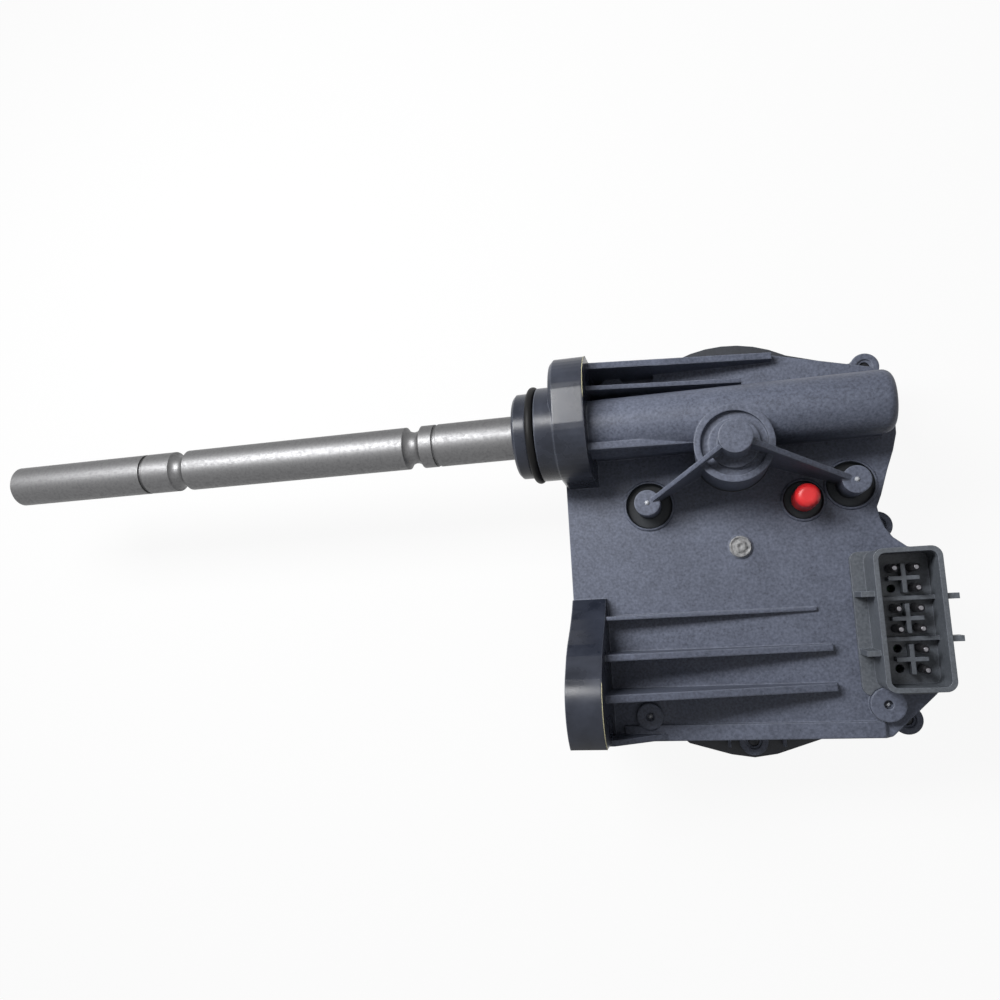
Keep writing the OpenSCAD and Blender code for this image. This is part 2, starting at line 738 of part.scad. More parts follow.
// Single start worm on the motor's shaft.
module worm() {
  r0 = worm_r - 1.2 * wheel_module;
  r1 = worm_r + wheel_module;
  n = 24;
  t = lead / 4 - tooth_play;
  function thread_r(a) = let (s = abs(a) / 360 * lead, f = tan(20))
    min(r1, max(r0, worm_r + (t - s) / f));
  outline = [for (i = [0 : n - 1]) let (a = -180 + (i + 0.5) * 360 / n, r = thread_r(a))
    [r * cos(a), r * sin(a)]];
  color("#8f9499") translate([worm_x, pinion_y - worm_len / 2, wheel_z]) rotate([-90, 0, 0])
    rotate([0, 0, -360 * (worm_len / 2) / lead]) difference() {
      linear_extrude(worm_len, twist = -360 * worm_len / lead, slices = 84) polygon(outline);
      translate([0, 0, -1]) cylinder(r = motor_shaft_d / 2, h = worm_len + 2);
    }
}

// The two bushes of the worm's shaft.
module worm_bushes() {
  color("#b08d4a") {
    ring_y(-29.5, -24.5, motor_shaft_d / 2 + run_gap, 4.5);
    ring_y(worm_shaft_end - 5, worm_shaft_end, motor_shaft_d / 2 + run_gap, 4.5);
  }
}

// Worm wheel, with teeth that lean by the worm's lead.
module wheel_gear() {
  lean = wheel_w * lead / (2 * PI * worm_r) / wheel_r * 180 / PI;
  color("#d9d4c6") translate([pinion_x, pinion_y, wheel_low]) {
    difference() {
      linear_extrude(wheel_w, twist = -lean, slices = 2)
        gear_outline(wheel_module, wheel_teeth, 20, 2 * tooth_play, 180 + 180 / wheel_teeth - lean / 2);
      translate([0, 0, -1]) cylinder(r = hub_r, h = wheel_w + 2);
      translate([0, 0, wheel_w - 2.5]) difference() {
        cylinder(r = wheel_r - 4, h = 4);
        translate([0, 0, -1]) cylinder(r = hub_r + 3, h = 6);
      }
      for (a = [30 : 60 : 330]) rotate([0, 0, a]) translate([(wheel_r + hub_r) / 2, 0, -1])
        cylinder(r = 3.4, h = wheel_w + 2, $fn = 24);
    }
    translate([spring_out - 0.3, 0.05, wheel_w - 3]) cube([4.2, 3, spring_top - wheel_top + 3]);
  }
}

// Spiral spring between the wheel's stop and the driven hub.
module spiral_spring() {
  n = 20 * spring_turns;
  rise = (spring_out - spring_in) / n;
  function sp(i, o) = let (a = 360 * spring_turns * i / n, r = spring_in + rise * i + o)
    [r * cos(a), r * sin(a)];
  color("#6f7a86") translate([pinion_x, pinion_y, spring_low]) linear_extrude(spring_top - spring_low)
    polygon(concat([for (i = [0 : n]) sp(i, 0)], [for (i = [n : -1 : 0]) sp(i, 0.9)]));
}

// Hub that holds the spring's inner end and carries the finger beside the wheel's stop.
module driven_hub() {
  finger = spring_out - 2.1;
  color("#7d8288") translate([pinion_x, pinion_y, 0]) difference() {
    union() {
      translate([0, 0, wheel_top + 0.2]) cylinder(r = hub_r + 2.4, h = inner_z - wheel_top - 0.8);
      translate([0, -2.5, inner_z - 3]) cube([finger + 1.5, 5.5, 2.4]);
      translate([finger, 0.5, wheel_top + 0.6]) cube([1.5, 2.5, inner_z - 3 - wheel_top - 0.6 + eps]);
    }
    translate([0, 0, wheel_top]) cylinder(r = hub_r, h = 30);
  }
}

// Pinion with its stepped shaft.
module pinion_shaft() {
  color("#9b9fa4") union() {
    translate([pinion_x, pinion_y, -pinion_top]) linear_extrude(pinion_w)
      gear_outline(rack_module, pinion_teeth, 25, tooth_play, 90);
    post(pinion_x, pinion_y, pinion_top - eps, journal_top - 0.3, journal_r);
    post(pinion_x, pinion_y, inner_z - 0.4, -pinion_top + eps, mid_journal_r);
    post(pinion_x, pinion_y, wheel_low - 1.2, inner_z - 0.4 + eps, hub_r);
    post(pinion_x, pinion_y, back_in - 1.2, wheel_low - 1.2 + eps, back_journal_r);
  }
}

// Front bush of the pinion's shaft.
module front_journal_bush() {
  color("#b08d4a") collar(pinion_x, pinion_y, chamber_top, journal_top, journal_r + run_gap,
    journal_r + run_gap + bush_t);
}

// Middle bush of the pinion's shaft, which also closes the pinion's chamber.
module mid_journal_bush() {
  color("#b08d4a") collar(pinion_x, pinion_y, inner_z, mid_bush_top, mid_journal_r + run_gap,
    chamber_r);
}

// Back bush of the pinion's shaft.
module back_journal_bush() {
  color("#b08d4a") collar(pinion_x, pinion_y, back_in - 1.5, back_in + 3.5,
    back_journal_r + run_gap, back_journal_r + run_gap + bush_t);
}

// Contact disc on the back of the wheel.
module contact_disc() {
  color("#c58f45") translate([pinion_x, pinion_y, wheel_low - 1]) difference() {
    cylinder(r = disc_r, h = 1);
    translate([0, 0, -1]) cylinder(r = hub_r, h = 3);
    for (r = [14, 19]) translate([0, 0, -0.5]) intersection() {
      difference() {
        cylinder(r = r + 0.4, h = 0.8);
        translate([0, 0, -1]) cylinder(r = r - 0.4, h = 3);
      }
      rotate([0, 0, 12 * r]) translate([0, -30, -1]) cube([40, 60, 4]);
    }
  }
}

// Board behind the contact disc.
module switch_board() {
  color("#2f6b3c") translate([pinion_x, pinion_y, back_in + eps]) difference() {
    cylinder(r = disc_r + 1, h = board_t);
    translate([0, 0, -1]) cylinder(r = seat_r + 0.1, h = board_t + 2);
    for (a = [45 : 90 : 315]) rotate([0, 0, a]) translate([disc_r - 2.5, 0, -1])
      cylinder(r = 1.5, h = board_t + 2, $fn = 24);
  }
}

// Spring fingers that rub on the contact disc.
module switch_brushes() {
  z0 = back_in + board_t + eps;
  z1 = wheel_low - 1.05;
  color("#d0a860") for (r = [11.5, 16.5, 21.5]) translate([pinion_x, pinion_y, 0])
    wall_y(-0.8 - r / 4, 0.8 - r / 4, [[r - 3, z0], [r - 3, z0 + 0.5], [r - 1.6, z0 + 0.5],
      [r - 0.6, z1], [r + 0.6, z1], [r + 0.4, z1 - 0.6], [r - 0.1, z1 - 0.6], [r - 1, z0]]);
}

// Shift shaft with grooves in front and the rack behind.
module shift_shaft() {
  half_w = round_groove_w / 2;
  cut_r = (half_w * half_w + round_groove_deep * round_groove_deep) / (2 * round_groove_deep);
  c = end_chamfer;
  pitch = PI * rack_module;
  low = rack_line + 1.25 * rack_module;
  tip = rack_line - rack_module;
  half = pitch / 4 - tooth_play / 4;
  f = tan(25);
  first = ceil((rack_from - pinion_x) / pitch);
  last = floor((rack_to - pinion_x) / pitch) - 1;
  color("#9c9a97") difference() {
    about_x([[-shaft_out, 0], [-shaft_out, shaft_r - c], [-shaft_out + c, shaft_r],
      [shaft_in - c, shaft_r], [shaft_in, shaft_r - c], [shaft_in, 0]]);
    for (g = [ring_groove_1, ring_groove_2])
      ring_x(-g - ring_groove_w / 2, -g + ring_groove_w / 2, shaft_r - ring_groove_deep, shaft_r + 1);
    for (g = [round_groove_1, round_groove_2]) translate([-g, 0, 0]) rotate([90, 0, 90])
      rotate_extrude() translate([shaft_r + cut_r - round_groove_deep, 0]) circle(cut_r);
    translate([0, 0, -shaft_r - 1]) linear_extrude(shaft_d + 2) difference() {
      translate([rack_from, low - 20]) square([rack_to - rack_from, 20]);
      for (k = [first : last]) let (x = pinion_x + (k + 0.5) * pitch) polygon([
        [x - half - 1.25 * rack_module * f, low + 0.01], [x - half + rack_module * f, tip],
        [x + half - rack_module * f, tip], [x + half + 1.25 * rack_module * f, low + 0.01]]);
    }
  }
}

front_housing();
rear_cover();
cover_gasket();
cover_screws();
fixing_inserts();
spigot_ring();
shaft_seal();
front_bush();
rear_bush();
connector_shell();
terminals();
terminal_board();
vent_cap();
motor_can();
motor_magnets();
motor_end_cap();
motor_armature();
worm();
worm_bushes();
wheel_gear();
spiral_spring();
driven_hub();
pinion_shaft();
front_journal_bush();
mid_journal_bush();
back_journal_bush();
contact_disc();
switch_board();
switch_brushes();
shift_shaft();
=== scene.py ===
"""Looks of a motor-driven shift actuator: nylon housing, ground steel shaft, side connector."""

import json
import logging
import math
from dataclasses import dataclass, field
from enum import Enum

import bpy
from mathutils import Matrix, Vector

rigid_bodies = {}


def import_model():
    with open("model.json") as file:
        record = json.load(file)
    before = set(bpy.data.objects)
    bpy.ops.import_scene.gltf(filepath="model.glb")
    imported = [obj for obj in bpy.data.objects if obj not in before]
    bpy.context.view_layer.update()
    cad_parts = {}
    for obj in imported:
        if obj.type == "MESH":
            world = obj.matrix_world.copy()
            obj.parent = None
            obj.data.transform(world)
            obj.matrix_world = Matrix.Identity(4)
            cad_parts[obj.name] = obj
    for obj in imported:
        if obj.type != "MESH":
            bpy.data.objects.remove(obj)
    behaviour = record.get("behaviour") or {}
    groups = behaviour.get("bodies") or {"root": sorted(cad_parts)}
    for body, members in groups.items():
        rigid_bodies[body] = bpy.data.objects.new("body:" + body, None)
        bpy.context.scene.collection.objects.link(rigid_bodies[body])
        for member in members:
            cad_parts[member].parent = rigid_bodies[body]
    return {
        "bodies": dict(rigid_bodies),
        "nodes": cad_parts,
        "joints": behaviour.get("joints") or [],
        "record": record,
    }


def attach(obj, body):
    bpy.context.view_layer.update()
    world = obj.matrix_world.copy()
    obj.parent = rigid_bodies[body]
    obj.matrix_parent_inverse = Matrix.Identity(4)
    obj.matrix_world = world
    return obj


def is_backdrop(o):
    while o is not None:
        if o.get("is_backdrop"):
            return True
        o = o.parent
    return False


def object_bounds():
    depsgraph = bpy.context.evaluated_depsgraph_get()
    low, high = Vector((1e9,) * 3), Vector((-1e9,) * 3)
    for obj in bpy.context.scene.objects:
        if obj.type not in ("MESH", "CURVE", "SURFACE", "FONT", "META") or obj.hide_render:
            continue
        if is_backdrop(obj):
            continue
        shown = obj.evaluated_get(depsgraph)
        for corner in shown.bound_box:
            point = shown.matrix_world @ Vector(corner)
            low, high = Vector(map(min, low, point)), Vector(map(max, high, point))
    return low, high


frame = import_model()

Tree = bpy.types.NodeTree
Node = bpy.types.Node
Socket = bpy.types.NodeSocket
Material = bpy.types.Material
Place = tuple[float, float, float]

MM = 0.001
LOG = logging.getLogger("actuator")
WHITE = (1, 1, 1, 1)

# The Mix node's colour sockets go by number, because several of its sockets share a name.
MIX_FACTOR, MIX_FROM, MIX_TO, MIX_OUT = 0, 6, 7, 2
# How many rays the Bevel node uses to round an edge.
EDGE_SAMPLES = 6
# The Wave node runs through this many radians in each unit of length.
WAVE_RADIANS = 20

# Places on the front of the housing, in millimetres.
BOSS = (53.6, -9.8)
LEFT_PIN = (26.5, -24.0)
RIGHT_PIN = (87.7, -22.1)
CAP = (73.6, -25.8)


class Surface(Enum):
    """How a metal surface was cut, which sets the way its fine lines run."""

    ROUND_X = "rings about the shift shaft's axis"
    ROUND_Z = "rings about an upright axis"
    PLAIN = "no lines"


def linear(hex_colour: str) -> tuple[float, float, float, float]:
    """Turns an sRGB hex colour into Blender's linear colour.

    Args:
        hex_colour: six hex digits, with or without a leading mark.

    Returns:
        Red, green, blue and alpha.
    """
    digits = hex_colour.lstrip("#")
    parts = [int(digits[i:i + 2], 16) / 255 for i in (0, 2, 4)]
    out = [p / 12.92 if p <= 0.04045 else ((p + 0.055) / 1.055) ** 2.4 for p in parts]
    return out[0], out[1], out[2], 1.0


def add_node(tree: Tree, kind: str, settings: dict | None = None,
             inputs: dict | None = None) -> Node:
    """Adds one node, sets it and links it.

    Args:
        tree: the node tree that takes the node.
        kind: the node's type name.
        settings: the node's own attributes and their values.
        inputs: input names or numbers, each with a value or with the output socket to link.

    Returns:
        The new node.
    """
    made = tree.nodes.new(kind)
    for name, value in (settings or {}).items():
        setattr(made, name, value)
    for name, value in (inputs or {}).items():
        socket = made.inputs[name]
        if isinstance(value, Socket):
            tree.links.new(value, socket)
        else:
            socket.default_value = value
    return made


def two_tone(tree: Tree, factor: Socket, span: tuple[float, float], dark: str,
             light: str) -> Socket:
    """Colours a factor between two tones.

    Args:
        tree: the material's tree.
        factor: the number that chooses the tone.
        span: the factor at which the dark tone ends, and the one at which the light tone starts.
        dark: hex colour of the dark tone.
        light: hex colour of the light tone.

    Returns:
        The colour output.
    """
    ramp = add_node(tree, "ShaderNodeValToRGB", inputs={0: factor})
    for stop, position, colour in zip(ramp.color_ramp.elements, span, (dark, light)):
        stop.position = position
        stop.color = linear(colour)
    return ramp.outputs[0]


@dataclass(frozen=True)
class Grain:
    """How coarse a cloudy pattern is on the real part, and how much finer detail it holds."""

    size_mm: float
    detail: float
    harshness: float

    def inputs(self, where: Socket, socket: str = "Vector") -> dict:
        """The Noise node's inputs, with the coordinate on the named socket."""
        return {socket: where, "Scale": 1 / (self.size_mm * MM), "Detail": self.detail,
                "Roughness": self.harshness}


@dataclass(frozen=True)
class Finish:
    """A finish with one plain colour. Its subclasses add the pattern that the eye sees."""

    name: str
    colour: str
    roughness: float
    metallic: float = 0.0
    ior: float = 1.5
    edge_mm: float = 0.3
    # The shader's Specular IOR Level: low on black pieces, which would mirror the white around.
    sheen: float = 0.5

    def material(self) -> Material:
        """Builds the material with its shader, its rounded edges and its pattern.

        Returns:
            The new material.
        """
        made = bpy.data.materials.new(self.name)
        made.use_nodes = True
        tree = made.node_tree
        shader = tree.nodes["Principled BSDF"]
        shader.inputs["Base Color"].default_value = linear(self.colour)
        shader.inputs["Roughness"].default_value = self.roughness
        shader.inputs["Metallic"].default_value = self.metallic
        if not self.metallic:
            shader.inputs["IOR"].default_value = self.ior
            shader.inputs["Specular IOR Level"].default_value = self.sheen
        made.diffuse_color = linear(self.colour)
        where = add_node(tree, "ShaderNodeTexCoord").outputs["Object"]
        edge = add_node(tree, "ShaderNodeBevel", {"samples": EDGE_SAMPLES},
                        {"Radius": self.edge_mm * MM})
        self.pattern(tree, shader, where, edge.outputs[0])
        return made

    def pattern(self, tree: Tree, shader: Node, where: Socket, edge: Socket) -> None:
        """Links the rounded edges and leaves the colour plain.

        Args:
            tree: the material's tree.
            shader: the principled shader.
            where: object coordinates in metres; not used here.
            edge: the normal with its edges rounded.
        """
        tree.links.new(edge, shader.inputs["Normal"])


@dataclass(frozen=True)
class MouldedNylon(Finish):
    """Glass-filled nylon, moulded: a fine matt grain, cloudy where fibres reach the skin."""

    light: str = "#696f80"
    grain: Grain = Grain(0.8, 2.0, 0.6)
    cloud: Grain = Grain(14.0, 4.0, 0.65)
    scuff: Grain = Grain(3.0, 6.0, 0.75)
    grain_share: float = 0.55
    cloud_share: float = 0.25
    scuff_share: float = 0.2
    tone_span: tuple[float, float] = (0.32, 0.72)
    grain_depth_mm: float = 0.04
    # The roughness sways by gloss_sway to each side while the cloud runs through gloss_span.
    gloss_span: tuple[float, float] = (0.3, 0.7)
    gloss_sway: float = 0.07
    # Edges turn pale by the cosine between their rounded and their flat normal: partly
    # wear, partly a painted highlight.
    wear_and_highlight: str = "#8b919f"
    wear_and_highlight_from: float = 0.97
    wear_and_highlight_full: float = 0.75
    wear_and_highlight_share: float = 0.45
    # The flange is polished left of an X and above a Z. At -400 mm, no part of a piece is.
    smooth_to_x_mm: float = -400.0
    smooth_above_z_mm: float = -12.5
    smooth_colour: str = "#1a1e28"
    smooth_span: tuple[float, float] = (0.35, 0.9)
    smooth_grain_share: float = 0.15
    polish: float = 0.23
    # X, Y and radius around each foot that gets painted shade, darkening from one height
    # down to another.
    painted_shade_mm: tuple[Place, ...] = ()
    painted_shade_from_z_mm: float = -7.0
    painted_shade_full_z_mm: float = -12.5
    painted_shade_colour: str = "#10151b"

    def smooth(self, tree: Tree, axes: dict) -> Socket:
        """Finds the polished part of the flange.

        Args:
            tree: the material's tree.
            axes: the object coordinates, one output each.

        Returns:
            One on that part, and zero elsewhere.
        """
        left = add_node(tree, "ShaderNodeMath", {"operation": "LESS_THAN"}, {
            0: axes["X"], 1: self.smooth_to_x_mm * MM})
        high = add_node(tree, "ShaderNodeMath", {"operation": "GREATER_THAN"}, {
            0: axes["Z"], 1: self.smooth_above_z_mm * MM})
        return add_node(tree, "ShaderNodeMath", {"operation": "MULTIPLY"}, {
            0: left.outputs[0], 1: high.outputs[0]}).outputs[0]

    def painted_shade(self, tree: Tree, where: Socket, axes: dict) -> Socket:
        """Finds where shade is painted: the foot of the boss, of each pin and of the cap, and the
        floor of its ring groove.

        Args:
            tree: the material's tree.
            where: object coordinates in metres.
            axes: the same coordinates, one output each.

        Returns:
            One at a foot and deep in a groove, and zero up the wall and outside the groove.
        """
        level = add_node(tree, "ShaderNodeVectorMath", {"operation": "MULTIPLY"}, {
            0: where, 1: (1, 1, 0)})
        inside = 0.0
        for x, y, radius in self.painted_shade_mm:
            away = add_node(tree, "ShaderNodeVectorMath", {"operation": "DISTANCE"}, {
                0: level.outputs[0], 1: (x * MM, y * MM, 0)})
            near = add_node(tree, "ShaderNodeMath", {"operation": "LESS_THAN"}, {
                0: away.outputs["Value"], 1: radius * MM})
            inside = add_node(tree, "ShaderNodeMath", {"operation": "MAXIMUM"}, {
                0: near.outputs[0], 1: inside}).outputs[0]
        low = add_node(tree, "ShaderNodeMapRange", inputs={
            "Value": axes["Z"], "From Min": self.painted_shade_from_z_mm * MM,
            "From Max": self.painted_shade_full_z_mm * MM})
        return add_node(tree, "ShaderNodeMath", {"operation": "MULTIPLY"}, {
            0: low.outputs[0], 1: inside}).outputs[0]

    def edge_wear_and_highlight(self, tree: Tree, edge: Socket) -> Socket:
        """Finds the edges, pale partly from wear and partly as a painted highlight, where the
        rounded normal leaves the flat one.

        Args:
            tree: the material's tree.
            edge: the normal with its edges rounded.

        Returns:
            The share of the pale tone, zero on a flat surface.
        """
        flat = add_node(tree, "ShaderNodeNewGeometry")
        along = add_node(tree, "ShaderNodeVectorMath", {"operation": "DOT_PRODUCT"}, {
            0: edge, 1: flat.outputs["Normal"]})
        return add_node(tree, "ShaderNodeMapRange", inputs={
            "Value": along.outputs["Value"], "From Min": self.wear_and_highlight_from,
            "From Max": self.wear_and_highlight_full, "To Min": 0.0, "To Max": self.wear_and_highlight_share}).outputs[0]

    def tone(self, tree: Tree, where: Socket, grain: Socket, cloud: Socket) -> Socket:
        """Mixes grain, scuffs and clouds to the tone of the grained surface.

        Args:
            tree: the material's tree.
            where: object coordinates in metres.
            grain: the fine pattern.
            cloud: the coarse pattern.

        Returns:
            The colour output.
        """
        scuff = add_node(tree, "ShaderNodeTexNoise", inputs=self.scuff.inputs(where))
        faint = add_node(tree, "ShaderNodeMath", {"operation": "MULTIPLY"}, {
            0: scuff.outputs[0], 1: self.scuff_share})
        speck = add_node(tree, "ShaderNodeMath", {"operation": "MULTIPLY_ADD"}, {
            0: grain, 1: self.grain_share, 2: faint.outputs[0]})
        factor = add_node(tree, "ShaderNodeMath", {"operation": "MULTIPLY_ADD"}, {
            0: cloud, 1: self.cloud_share, 2: speck.outputs[0]})
        return two_tone(tree, factor.outputs[0], self.tone_span, self.colour, self.light)

    def pattern(self, tree: Tree, shader: Node, where: Socket, edge: Socket) -> None:
        """Draws the nylon's tones, gloss and grain, and keeps the polished part smooth.

        Args:
            tree: the material's tree.
            shader: the principled shader.
            where: object coordinates in metres.
            edge: the normal with its edges rounded.
        """
        grain = add_node(tree, "ShaderNodeTexNoise", inputs=self.grain.inputs(where)).outputs[0]
        cloud = add_node(tree, "ShaderNodeTexNoise", inputs=self.cloud.inputs(where)).outputs[0]
        axes = add_node(tree, "ShaderNodeSeparateXYZ", inputs={0: where}).outputs
        smooth = self.smooth(tree, axes)
        # Each later tone covers the ones before it: grained, polished, pale edges (wear and
        # painted highlight), and painted shade at the feet.
        tone = self.tone(tree, where, grain, cloud)
        covers = [
            (smooth, two_tone(tree, cloud, self.smooth_span, self.smooth_colour, self.colour)),
            (self.edge_wear_and_highlight(tree, edge), linear(self.wear_and_highlight))]
        if self.painted_shade_mm:
            covers.append((self.painted_shade(tree, where, axes), linear(self.painted_shade_colour)))
        for share, cover in covers:
            tone = add_node(tree, "ShaderNodeMix", {"data_type": "RGBA"}, {
                MIX_FACTOR: share, MIX_FROM: tone, MIX_TO: cover}).outputs[MIX_OUT]
        tree.links.new(tone, shader.inputs["Base Color"])
        satin = add_node(tree, "ShaderNodeMapRange", inputs={
            "Value": cloud, "From Min": self.gloss_span[0], "From Max": self.gloss_span[1],
            "To Min": self.roughness - self.gloss_sway,
            "To Max": self.roughness + self.gloss_sway})
        gloss = add_node(tree, "ShaderNodeMath", {"operation": "MULTIPLY_ADD"}, {
            0: smooth, 1: -self.polish, 2: satin.outputs[0]})
        tree.links.new(gloss.outputs[0], shader.inputs["Roughness"])
        depth = add_node(tree, "ShaderNodeMapRange", inputs={
            "Value": smooth, "To Min": self.grain_depth_mm * MM,
            "To Max": self.grain_depth_mm * MM * self.smooth_grain_share})
        bump = add_node(tree, "ShaderNodeBump", inputs={
            "Height": grain, "Distance": depth.outputs[0], "Strength": 1.0, "Normal": edge})
        tree.links.new(bump.outputs[0], shader.inputs["Normal"])


@dataclass(frozen=True)
class CutMetal(Finish):
    """Metal cut by a tool: faint lines along the cut and a few darker specks."""

    metallic: float = 1.0
    dark: str = "#6d6b69"
    speck: Grain = Grain(1.1, 5.0, 0.7)
    speck_span: tuple[float, float] = (0.34, 0.56)
    gloss_span: tuple[float, float] = (0.3, 0.7)
    duller_by: float = 0.1
    brighter_by: float = 0.05
    lines: Surface = Surface.PLAIN
    line: Grain = Grain(0.35, 3.0, 0.6)
    line_depth_mm: float = 0.004
    centre_mm: Place = (0.0, 0.0, 0.0)

    def pattern(self, tree: Tree, shader: Node, where: Socket, edge: Socket) -> None:
        """Draws the tool's lines as bump and the specks as colour.

        Args:
            tree: the material's tree.
            shader: the principled shader.
            where: object coordinates in metres.
            edge: the normal with its edges rounded.
        """
        speck = add_node(tree, "ShaderNodeTexNoise", inputs=self.speck.inputs(where))
        tone = two_tone(tree, speck.outputs[0], self.speck_span, self.dark, self.colour)
        tree.links.new(tone, shader.inputs["Base Color"])
        gloss = add_node(tree, "ShaderNodeMapRange", inputs={
            "Value": speck.outputs[0], "From Min": self.gloss_span[0],
            "From Max": self.gloss_span[1], "To Min": self.roughness + self.duller_by,
            "To Max": self.roughness - self.brighter_by})
        tree.links.new(gloss.outputs[0], shader.inputs["Roughness"])
        if self.lines is Surface.PLAIN:
            tree.links.new(edge, shader.inputs["Normal"])
            return
        moved = add_node(tree, "ShaderNodeMapping", inputs={
            "Vector": where, "Location": [-c * MM for c in self.centre_mm]})
        axes = add_node(tree, "ShaderNodeSeparateXYZ", inputs={0: moved.outputs[0]}).outputs
        if self.lines is Surface.ROUND_X:
            along = axes["X"]
        else:
            flat = add_node(tree, "ShaderNodeCombineXYZ", inputs={"X": axes["X"], "Y": axes["Y"]})
            along = add_node(tree, "ShaderNodeVectorMath", {"operation": "LENGTH"},
                             {0: flat.outputs[0]}).outputs["Value"]
        ring = add_node(tree, "ShaderNodeTexNoise", {"noise_dimensions": "1D"},
                        self.line.inputs(along, "W"))
        bump = add_node(tree, "ShaderNodeBump", inputs={
            "Height": ring.outputs[0], "Distance": self.line_depth_mm * MM, "Strength": 1.0,
            "Normal": edge})
        tree.links.new(bump.outputs[0], shader.inputs["Normal"])


@dataclass(frozen=True)
class CircuitBoard(Finish):
    """Glass-epoxy board under solder resist: darker bands where copper tracks run below."""

    track: str = "#1d5a33"
    track_mm: float = 1.6
    track_span: tuple[float, float] = (0.45, 0.55)

    def pattern(self, tree: Tree, shader: Node, where: Socket, edge: Socket) -> None:
        """Draws straight tracks along X.

        Args:
            tree: the material's tree.
            shader: the principled shader.
            where: object coordinates in metres.
            edge: the normal with its edges rounded.
        """
        wave = add_node(tree, "ShaderNodeTexWave", {"bands_direction": "Y"}, {
            "Vector": where, "Scale": 1 / WAVE_RADIANS / (self.track_mm * MM) * 2 * math.pi})
        tone = two_tone(tree, wave.outputs[1], self.track_span, self.colour, self.track)
        tree.links.new(tone, shader.inputs["Base Color"])
        tree.links.new(edge, shader.inputs["Normal"])


@dataclass
class Finishes:
    """Every finish of the actuator, by its name here or by the record's material slot."""

    made: dict[str, Material] = field(default_factory=dict)

    def build(self) -> None:
        """Makes the few materials that stand for no slot, then one for each slot."""
        finishes = {
            # Thin flash of the same nylon: with no pigment behind it, it looks pale, yellowish;
            # the pale line also stands for a painted highlight on the ears' back edges.
            "flash": Finish("nylon_flash_and_highlight", "#b9b48f", 0.5),
            # Nylon torn off at the gate: rough, and pale where the glass fibres stand out.
            "torn": MouldedNylon("torn_nylon", "#3a3b40", 0.6, sheen=0.4, light="#b6b6b6",
                                 grain=Grain(1.2, 2.0, 0.6), grain_depth_mm=0.2),
            # The shroud's nylon has hardly any grain: an even, slightly greenish dark grey, kept
            # lighter than the housing's as painted light on the connector's inside.
            "shroud": MouldedNylon("glass_filled_nylon_shroud_painted_light", "#3f4349", 0.46, sheen=0.4,
                                   light="#646970", grain_depth_mm=0.015),
            # Screw steel, phosphated and oiled: near black, dull.
            "screw": CutMetal("phosphated_steel", "#2b2c2f", 0.5, dark="#1f2022"),
            # Nylon pip from a polished vent, coloured pale as a painted glint where it domes.
            "pip": Finish("nylon_pip_painted_glint", "#a4a7ad", 0.3),
            # Glass-filled nylon, moulded in a spark-eroded mould: grey-blue with a pale grain,
            # and darker where the flange is polished; shade is painted at the feet of boss,
            # pins and cap.
            "housing_nylon": MouldedNylon(
                "glass_filled_nylon_moulded", "#3a3e4a", 0.52, sheen=0.3, edge_mm=0.7,
                smooth_to_x_mm=10.9,
                painted_shade_mm=((*LEFT_PIN, 7.4), (*RIGHT_PIN, 7.1), (*CAP, 6.0), (*BOSS, 11.8))),
            # The same nylon in the cover, from a smoother mould: darker, with less grain.
            "cover_nylon": MouldedNylon("glass_filled_nylon_dark", "#1b1d22", 0.5, sheen=0.3,
                                        light="#2d3037", grain_depth_mm=0.02),
            # Nitrile rubber, moulded: near black with a soft sheen.
            "seal_rubber": Finish("nitrile_rubber_moulded", "#0a0a0b", 0.5, ior=1.52,
                                  sheen=0.15),
            # Zinc-plated steel: bright grey with a faint bluish passivation.
            "zinc_steel": CutMetal("zinc_plated_steel", "#b4b8be", 0.34, dark="#8f9399"),
            # Brass, turned: warm yellow with darker specks.
            "insert_brass": CutMetal("turned_brass", "#c8a766", 0.3, dark="#a98a4e"),
            # Sintered bronze, oiled: brown and matt with open pores.
            "bush_bronze": CutMetal("sintered_bronze", "#a57d4c", 0.5, dark="#6b4d2b",
                                    speck=Grain(0.5, 5.0, 0.7)),
            # Tinned copper: grey, with a soft gloss.
            "tinned_copper": CutMetal("tinned_copper", "#77767a", 0.36, dark="#56565a",
                                      speck=Grain(0.8, 5.0, 0.7)),
            # Glass-epoxy circuit board under green solder resist.
            "circuit_board": CircuitBoard("solder_resist_board", "#2c7443", 0.35),
            # Red polypropylene cap, moulded: saturated, with a soft gloss.
            "red_plastic": Finish("red_polypropylene", "#d3262a", 0.36, ior=1.49, edge_mm=0.4),
            # Ferrite, ground: black and dull.
            "ferrite": Finish("ground_ferrite", "#2b2a29", 0.6, ior=1.8),
            # Lacquered steel laminations: brown, with darker specks in the lacquer.
            "armature_steel": CutMetal("lacquered_laminations", "#8f6a52", 0.42,
                                       dark="#5d4434"),
            # Hardened steel, machined: cool grey with fine rings.
            "gear_steel": CutMetal("machined_steel", "#9da1a7", 0.32, dark="#767a80",
                                   lines=Surface.ROUND_Z, centre_mm=(*BOSS, 0.0)),
            # Acetal, moulded: off-white and waxy.
            "gear_acetal": Finish("acetal_moulded", "#d9d5c8", 0.38, ior=1.48),
            # Contact brass, rolled: bright and yellow.
            "contact_brass": CutMetal("rolled_contact_brass", "#d2a258", 0.26, dark="#b3843d"),
            # Ground steel bar: even grey with small pits and faint rings from the wheel; the grey
            # is kept darker than bare steel as painted shade, for the dim surroundings it
            # mirrors.
            "ground_steel": CutMetal("ground_steel_bar_painted_shade", "#6e6e6f", 0.47, dark="#626263",
                                     lines=Surface.ROUND_X),
        }
        for name, finish in finishes.items():
            self.made[name] = finish.material()

    def dress(self, obj: bpy.types.Object, name: str) -> None:
        """Gives a solid one material.

        Args:
            obj: a CAD node.
            name: the finish that it gets.
        """
        slots = obj.data.materials
        if not slots:
            slots.append(self.made[name])
        for i in range(len(slots)):
            slots[i] = self.made[name]


